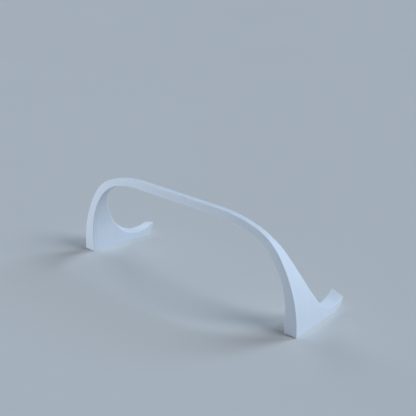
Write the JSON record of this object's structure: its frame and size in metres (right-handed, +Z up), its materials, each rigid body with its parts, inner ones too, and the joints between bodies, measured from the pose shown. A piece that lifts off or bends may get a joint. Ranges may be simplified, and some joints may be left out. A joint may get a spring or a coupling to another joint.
{
  "type": "game controller stand",
  "caption": "One-piece desk stand for a game controller: a thin arch on two legs that end in cradles for the grips.",
  "frame": {"origin": "on the table, midway across the stand and midway between its flat back face and the tips of its feet", "axes": "+X across the stand, +Y from the flat back face towards the tips of the feet, +Z up"},
  "size_m": [0.15, 0.04, 0.0495],
  "materials": {
    "plastic": "matte white 3D-printed plastic with fine layer lines"
  },
  "bodies": {
    "root": {"stand": "plastic"}
  },
  "joints": []
}
